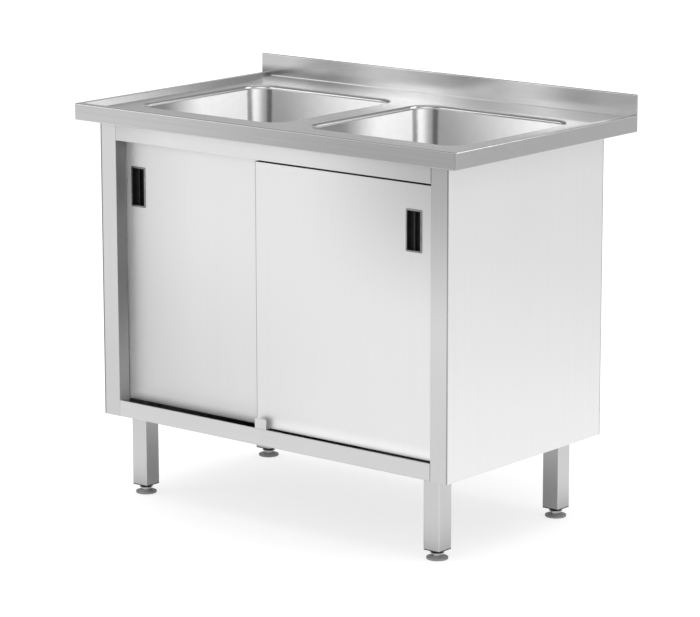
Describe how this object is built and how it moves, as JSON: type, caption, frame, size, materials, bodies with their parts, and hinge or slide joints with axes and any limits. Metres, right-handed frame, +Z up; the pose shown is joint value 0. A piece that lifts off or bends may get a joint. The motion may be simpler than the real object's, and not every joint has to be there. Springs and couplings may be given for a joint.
{
  "type": "kitchen sink unit",
  "caption": "Free-standing stainless double-bowl sink cabinet with sliding doors, low upstand, square legs and levelling feet.",
  "frame": {"origin": "on the floor, under the centre of the worktop's outline", "axes": "+X along the worktop to the right, -Y towards the doors, +Z up"},
  "size_m": [1, 0.6, 0.876],
  "materials": {
    "bottom_rail": "fine grain, satin",
    "centre_guide": "fine grain, satin",
    "centre_stiffener": "fine grain, satin",
    "door_track": "mill finish",
    "floor_panel": "fine grain, satin",
    "front_left_foot_pad": "moulded, matt",
    "front_left_foot_stem": "fine grain, satin",
    "front_left_leg": "fine grain, satin",
    "front_left_leg_plug": "moulded, matt",
    "front_right_foot_pad": "moulded, matt",
    "front_right_foot_stem": "fine grain, satin",
    "front_right_leg": "fine grain, satin",
    "front_right_leg_plug": "moulded, matt",
    "left_back_panel": "fine grain, satin",
    "left_bowl": "fine grain, satin",
    "left_door_hanger_screws": "fine grain, satin",
    "left_door_inner_skin": "fine grain, satin",
    "left_door_left_hanger": "fine grain, satin",
    "left_door_left_roller": "moulded, matt",
    "left_door_outer_skin": "fine grain, satin",
    "left_door_pull_cup": "moulded, matt",
    "left_door_pull_frame": "fine grain, satin",
    "left_door_right_hanger": "fine grain, satin",
    "left_door_right_roller": "moulded, matt",
    "left_post": "fine grain, satin",
    "left_side_panel": "fine grain, satin",
    "left_waste": "polished",
    "left_waste_gasket": "matt",
    "left_waste_nut": "moulded, matt",
    "leg_bolts": "fine grain, satin",
    "leg_nuts": "fine grain, satin",
    "rear_left_foot_pad": "moulded, matt",
    "rear_left_foot_stem": "fine grain, satin",
    "rear_left_leg": "fine grain, satin",
    "rear_left_leg_plug": "moulded, matt",
    "rear_rail": "fine grain, satin",
    "rear_right_foot_pad": "moulded, matt",
    "rear_right_foot_stem": "fine grain, satin",
    "rear_right_leg": "fine grain, satin",
    "rear_right_leg_plug": "moulded, matt",
    "right_back_panel": "fine grain, satin",
    "right_bowl": "fine grain, satin",
    "right_door_hanger_screws": "fine grain, satin",
    "right_door_inner_skin": "fine grain, satin",
    "right_door_left_hanger": "fine grain, satin",
    "right_door_left_roller": "moulded, matt",
    "right_door_outer_skin": "fine grain, satin",
    "right_door_pull_cup": "moulded, matt",
    "right_door_pull_frame": "fine grain, satin",
    "right_door_right_hanger": "fine grain, satin",
    "right_door_right_roller": "moulded, matt",
    "right_post": "fine grain, satin",
    "right_side_panel": "fine grain, satin",
    "right_waste": "polished",
    "right_waste_gasket": "matt",
    "right_waste_nut": "moulded, matt",
    "top_rail": "fine grain, satin",
    "track_screws": "fine grain, satin",
    "track_stops": "matt",
    "worktop": "fine grain, satin"
  },
  "bodies": {
    "frame": {"bottom_rail": "bottom_rail", "centre_guide": "centre_guide", "centre_stiffener": "centre_stiffener", "door_track": "door_track", "floor_panel": "floor_panel", "front_left_leg": "front_left_leg", "front_left_leg_plug": "front_left_leg_plug", "front_right_leg": "front_right_leg", "front_right_leg_plug": "front_right_leg_plug", "left_back_panel": "left_back_panel", "left_bowl": "left_bowl", "left_post": "left_post", "left_side_panel": "left_side_panel", "left_waste": "left_waste", "left_waste_gasket": "left_waste_gasket", "left_waste_nut": "left_waste_nut", "leg_bolts": "leg_bolts", "leg_nuts": "leg_nuts", "rear_left_leg": "rear_left_leg", "rear_left_leg_plug": "rear_left_leg_plug", "rear_rail": "rear_rail", "rear_right_leg": "rear_right_leg", "rear_right_leg_plug": "rear_right_leg_plug", "right_back_panel": "right_back_panel", "right_bowl": "right_bowl", "right_post": "right_post", "right_side_panel": "right_side_panel", "right_waste": "right_waste", "right_waste_gasket": "right_waste_gasket", "right_waste_nut": "right_waste_nut", "top_rail": "top_rail", "track_screws": "track_screws", "track_stops": "track_stops", "worktop": "worktop"},
    "left_door": {"left_door_hanger_screws": "left_door_hanger_screws", "left_door_inner_skin": "left_door_inner_skin", "left_door_left_hanger": "left_door_left_hanger", "left_door_outer_skin": "left_door_outer_skin", "left_door_pull_cup": "left_door_pull_cup", "left_door_pull_frame": "left_door_pull_frame", "left_door_right_hanger": "left_door_right_hanger"},
    "right_door": {"right_door_hanger_screws": "right_door_hanger_screws", "right_door_inner_skin": "right_door_inner_skin", "right_door_left_hanger": "right_door_left_hanger", "right_door_outer_skin": "right_door_outer_skin", "right_door_pull_cup": "right_door_pull_cup", "right_door_pull_frame": "right_door_pull_frame", "right_door_right_hanger": "right_door_right_hanger"},
    "left_door_left_roller": {"left_door_left_roller": "left_door_left_roller"},
    "left_door_right_roller": {"left_door_right_roller": "left_door_right_roller"},
    "right_door_left_roller": {"right_door_left_roller": "right_door_left_roller"},
    "right_door_right_roller": {"right_door_right_roller": "right_door_right_roller"},
    "front_left_foot": {"front_left_foot_pad": "front_left_foot_pad", "front_left_foot_stem": "front_left_foot_stem"},
    "front_right_foot": {"front_right_foot_pad": "front_right_foot_pad", "front_right_foot_stem": "front_right_foot_stem"},
    "rear_left_foot": {"rear_left_foot_pad": "rear_left_foot_pad", "rear_left_foot_stem": "rear_left_foot_stem"},
    "rear_right_foot": {"rear_right_foot_pad": "rear_right_foot_pad", "rear_right_foot_stem": "rear_right_foot_stem"}
  },
  "joints": [
    {"name": "left_door_slide", "type": "slide", "parent": "frame", "child": "left_door", "axis": [1, 0, 0], "range_m": [0, 0.404]},
    {"name": "right_door_slide", "type": "slide", "parent": "frame", "child": "right_door", "axis": [-1, 0, 0], "range_m": [0, 0.37]},
    {"name": "left_door_left_roller_spin", "type": "hinge", "parent": "left_door", "child": "left_door_left_roller", "pos_m": [-0.372, -0.228, 0.7753], "axis": [0, 1, 0], "range_deg": [0, 2120]},
    {"name": "left_door_right_roller_spin", "type": "hinge", "parent": "left_door", "child": "left_door_right_roller", "pos_m": [-0.032, -0.228, 0.7753], "axis": [0, 1, 0], "range_deg": [0, 2120]},
    {"name": "right_door_left_roller_spin", "type": "hinge", "parent": "right_door", "child": "right_door_left_roller", "pos_m": [0.015, -0.248, 0.7753], "axis": [0, -1, 0], "range_deg": [0, 1940]},
    {"name": "right_door_right_roller_spin", "type": "hinge", "parent": "right_door", "child": "right_door_right_roller", "pos_m": [0.355, -0.248, 0.7753], "axis": [0, -1, 0], "range_deg": [0, 1940]},
    {"name": "front_left_foot_screw", "type": "slide", "parent": "frame", "child": "front_left_foot", "axis": [0, 0, -1], "range_m": [0, 0.03]},
    {"name": "front_right_foot_screw", "type": "slide", "parent": "frame", "child": "front_right_foot", "axis": [0, 0, -1], "range_m": [0, 0.03]},
    {"name": "rear_left_foot_screw", "type": "slide", "parent": "frame", "child": "rear_left_foot", "axis": [0, 0, -1], "range_m": [0, 0.03]},
    {"name": "rear_right_foot_screw", "type": "slide", "parent": "frame", "child": "rear_right_foot", "axis": [0, 0, -1], "range_m": [0, 0.03]}
  ],
  "couplings": [
    {"joint": "left_door_left_roller_spin", "follows": "left_door_slide", "rad_per_m": 90.909},
    {"joint": "left_door_right_roller_spin", "follows": "left_door_slide", "rad_per_m": 90.909},
    {"joint": "right_door_left_roller_spin", "follows": "right_door_slide", "rad_per_m": 90.909},
    {"joint": "right_door_right_roller_spin", "follows": "right_door_slide", "rad_per_m": 90.909}
  ]
}
